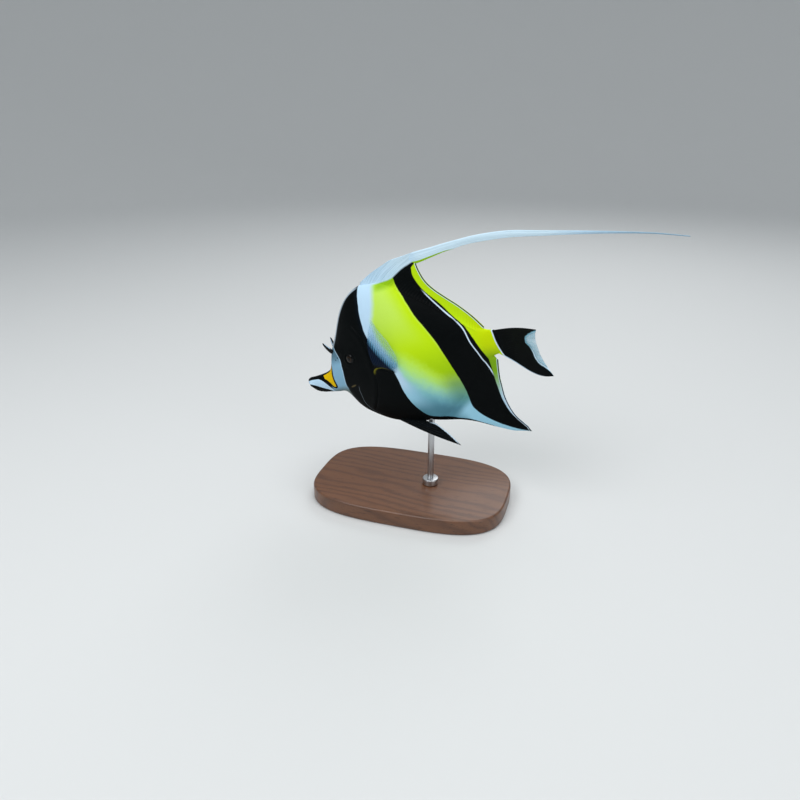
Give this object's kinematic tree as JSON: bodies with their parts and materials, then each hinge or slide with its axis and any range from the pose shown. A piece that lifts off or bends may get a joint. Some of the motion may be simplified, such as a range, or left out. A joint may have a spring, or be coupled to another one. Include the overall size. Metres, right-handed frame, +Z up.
{
  "type": "moorish idol fish display model",
  "caption": "Life-size moorish idol fish with a long trailing dorsal filament, bent as if swimming, held over a flat base by a short rod.",
  "frame": {"origin": "centre of the underside of the stand's base", "axes": "+Z up, -X towards the fish's snout, +X towards its tail, -Y out of its left side"},
  "size_m": [0.254, 0.096, 0.2143],
  "materials": {
    "snout_skin": "smooth satin skin, white with an orange-yellow saddle edged in black",
    "jaw_skin": "smooth satin skin, black",
    "head_skin": "fine satin skin, black with a white face",
    "body_skin": "minute rough scales, satin, in bands of white, yellow and black",
    "eye": "wet gloss, black pupil in a dark brown ring",
    "horn": "bare bone, dark, satin",
    "dorsal_membrane": "thin rayed membrane, white in front, then black, then yellow",
    "filament": "thin white streamer, finely streaked",
    "fin_black": "thin rayed membrane, black with pale edges",
    "fin_clear": "thin, almost clear rayed membrane, pale blue",
    "stand_wood": "dark stained wood, satin varnish",
    "stand_steel": "brushed"
  },
  "bodies": {
    "root": {"snout": "snout_skin", "lower_jaw": "jaw_skin", "head": "head_skin", "torso": "body_skin", "tail": "body_skin", "eye_left": "eye", "eye_right": "eye", "horn_left": "horn", "horn_right": "horn", "dorsal_fin": "dorsal_membrane", "filament_1": "filament", "filament_2": "filament", "filament_3": "filament", "anal_fin": "fin_black", "caudal_fin": "fin_black", "pectoral_fin_left": "fin_clear", "pectoral_fin_right": "fin_clear", "pelvic_fin_left": "fin_black", "pelvic_fin_right": "fin_black", "stand_base": "stand_wood", "stand_rod": "stand_steel", "stand_collar": "stand_steel"}
  },
  "joints": []
}
